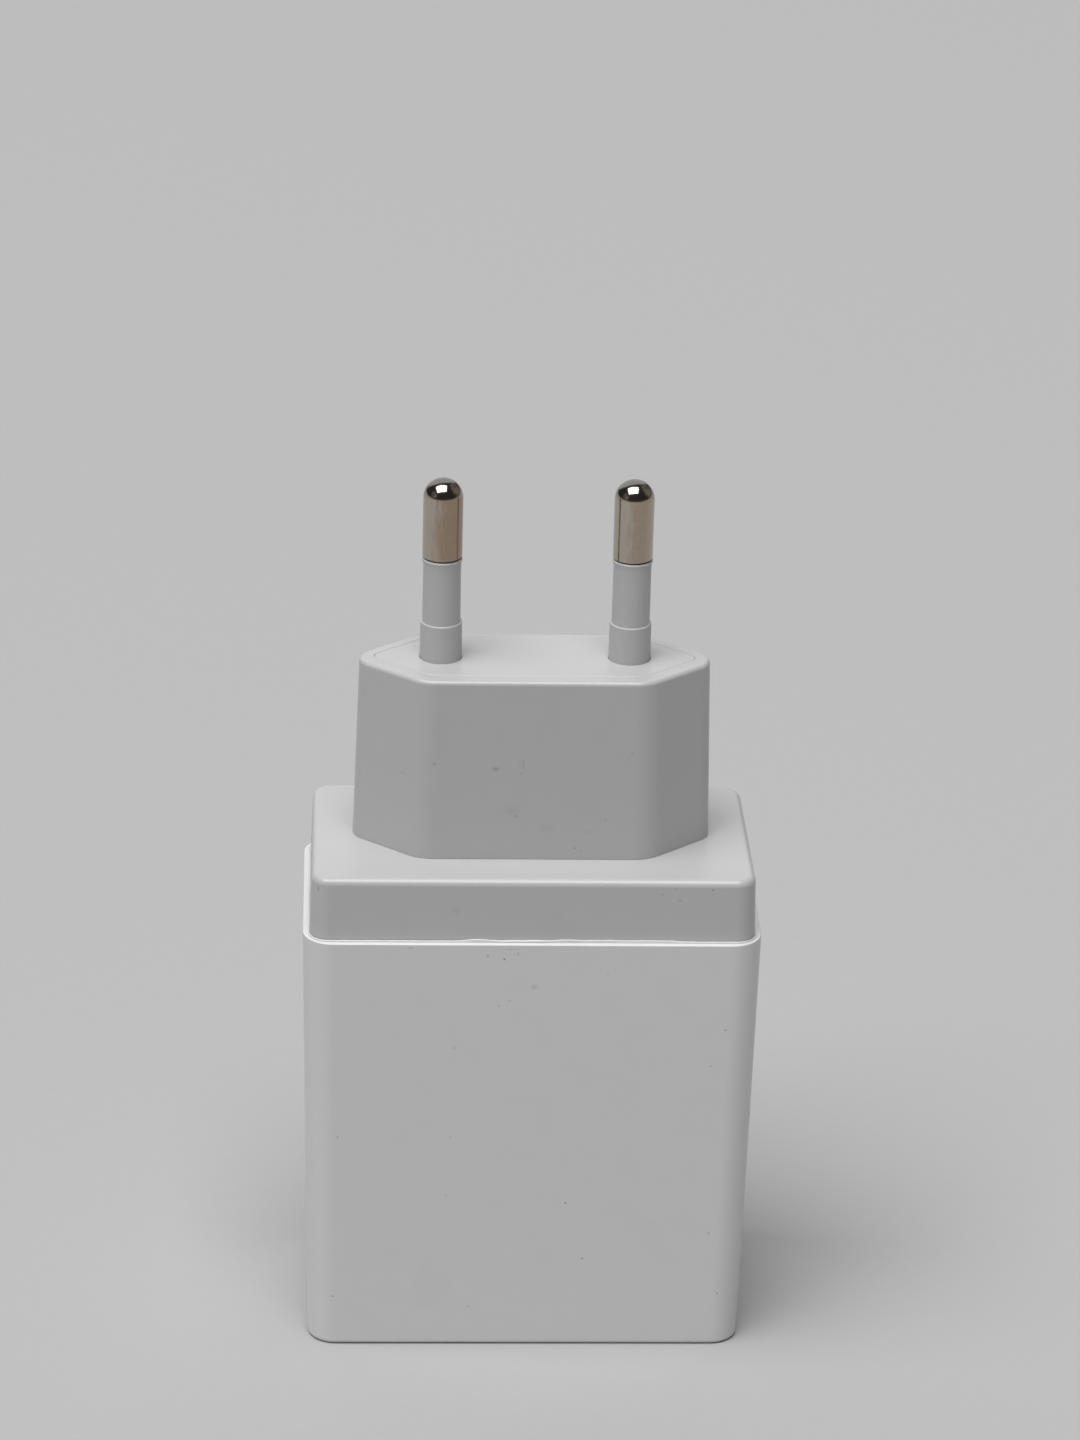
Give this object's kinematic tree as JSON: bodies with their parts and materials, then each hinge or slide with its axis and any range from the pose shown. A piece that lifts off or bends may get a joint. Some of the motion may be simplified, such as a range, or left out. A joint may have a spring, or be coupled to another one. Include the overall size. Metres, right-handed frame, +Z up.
{
  "type": "usb wall charger",
  "caption": "Block-shaped mains charger that stands on its port face, with a flat two-pin plug rising from a stepped, welded plastic housing.",
  "frame": {"origin": "centre of the foot face, which the charger stands on", "axes": "+Z up from the foot along the mains pins; +X across the width, through both pins; +Y towards the back, so the front is at -Y"},
  "size_m": [0.0464, 0.0252, 0.0919],
  "materials": {
    "housing_plastic": "satin",
    "cover_plastic": "satin",
    "pin_sleeve_plastic": "satin",
    "pin_nickel": "gloss",
    "tab_brass": "satin",
    "shell_steel": "satin",
    "port_plastic": "satin",
    "contact_gold": "gloss",
    "board_laminate": "satin",
    "tinned_wire": "satin",
    "black_moulding": "matte",
    "ferrite": "matte",
    "enamelled_copper": "gloss",
    "tape_yellow": "satin",
    "capacitor_aluminium": "satin",
    "bung_rubber": "matte",
    "film_box_plastic": "satin",
    "disc_glaze": "gloss",
    "fuse_ceramic": "matte",
    "fuse_cap_metal": "gloss",
    "spreader_aluminium": "satin",
    "sheet_paper": "matte"
  },
  "bodies": {
    "root": {"bridging_capacitor": "disc_glaze", "bridging_capacitor_leads": "tinned_wire", "bulk_capacitor_1_bung": "bung_rubber", "bulk_capacitor_1_can": "capacitor_aluminium", "bulk_capacitor_1_leads": "tinned_wire", "bulk_capacitor_2_bung": "bung_rubber", "bulk_capacitor_2_can": "capacitor_aluminium", "bulk_capacitor_2_leads": "tinned_wire", "charge_chip_1": "black_moulding", "charge_chip_2": "black_moulding", "charge_chip_3": "black_moulding", "choke_core": "ferrite", "choke_leads": "tinned_wire", "choke_winding": "enamelled_copper", "controller_chip": "black_moulding", "film_capacitor_box": "film_box_plastic", "film_capacitor_leads": "tinned_wire", "fuse_body": "fuse_ceramic", "fuse_end_caps": "fuse_cap_metal", "header_pins": "tinned_wire", "header_strip": "black_moulding", "heat_spreader": "spreader_aluminium", "housing_sleeve": "housing_plastic", "input_tab_left": "tab_brass", "input_tab_right": "tab_brass", "insulating_sheet": "sheet_paper", "main_board": "board_laminate", "mains_bridge": "black_moulding", "mains_pin_left": "pin_nickel", "mains_pin_right": "pin_nickel", "optocoupler": "black_moulding", "output_capacitor_1_bung": "bung_rubber", "output_capacitor_1_can": "capacitor_aluminium", "output_capacitor_1_leads": "tinned_wire", "output_capacitor_2_bung": "bung_rubber", "output_capacitor_2_can": "capacitor_aluminium", "output_capacitor_2_leads": "tinned_wire", "output_rectifier": "black_moulding", "pin_carrier_plate": "cover_plastic", "pin_sleeve_left": "pin_sleeve_plastic", "pin_sleeve_right": "pin_sleeve_plastic", "plug_cover": "cover_plastic", "port_board": "board_laminate", "switching_transistor": "black_moulding", "transformer_bobbin": "black_moulding", "transformer_core_left": "ferrite", "transformer_core_right": "ferrite", "transformer_pins": "tinned_wire", "transformer_tape": "tape_yellow", "transformer_winding": "enamelled_copper", "usb_contacts_1": "contact_gold", "usb_contacts_2": "contact_gold", "usb_contacts_3": "contact_gold", "usb_insulator_1": "port_plastic", "usb_insulator_2": "port_plastic", "usb_insulator_3": "port_plastic", "usb_shell_1": "shell_steel", "usb_shell_2": "shell_steel", "usb_shell_3": "shell_steel"}
  },
  "joints": []
}
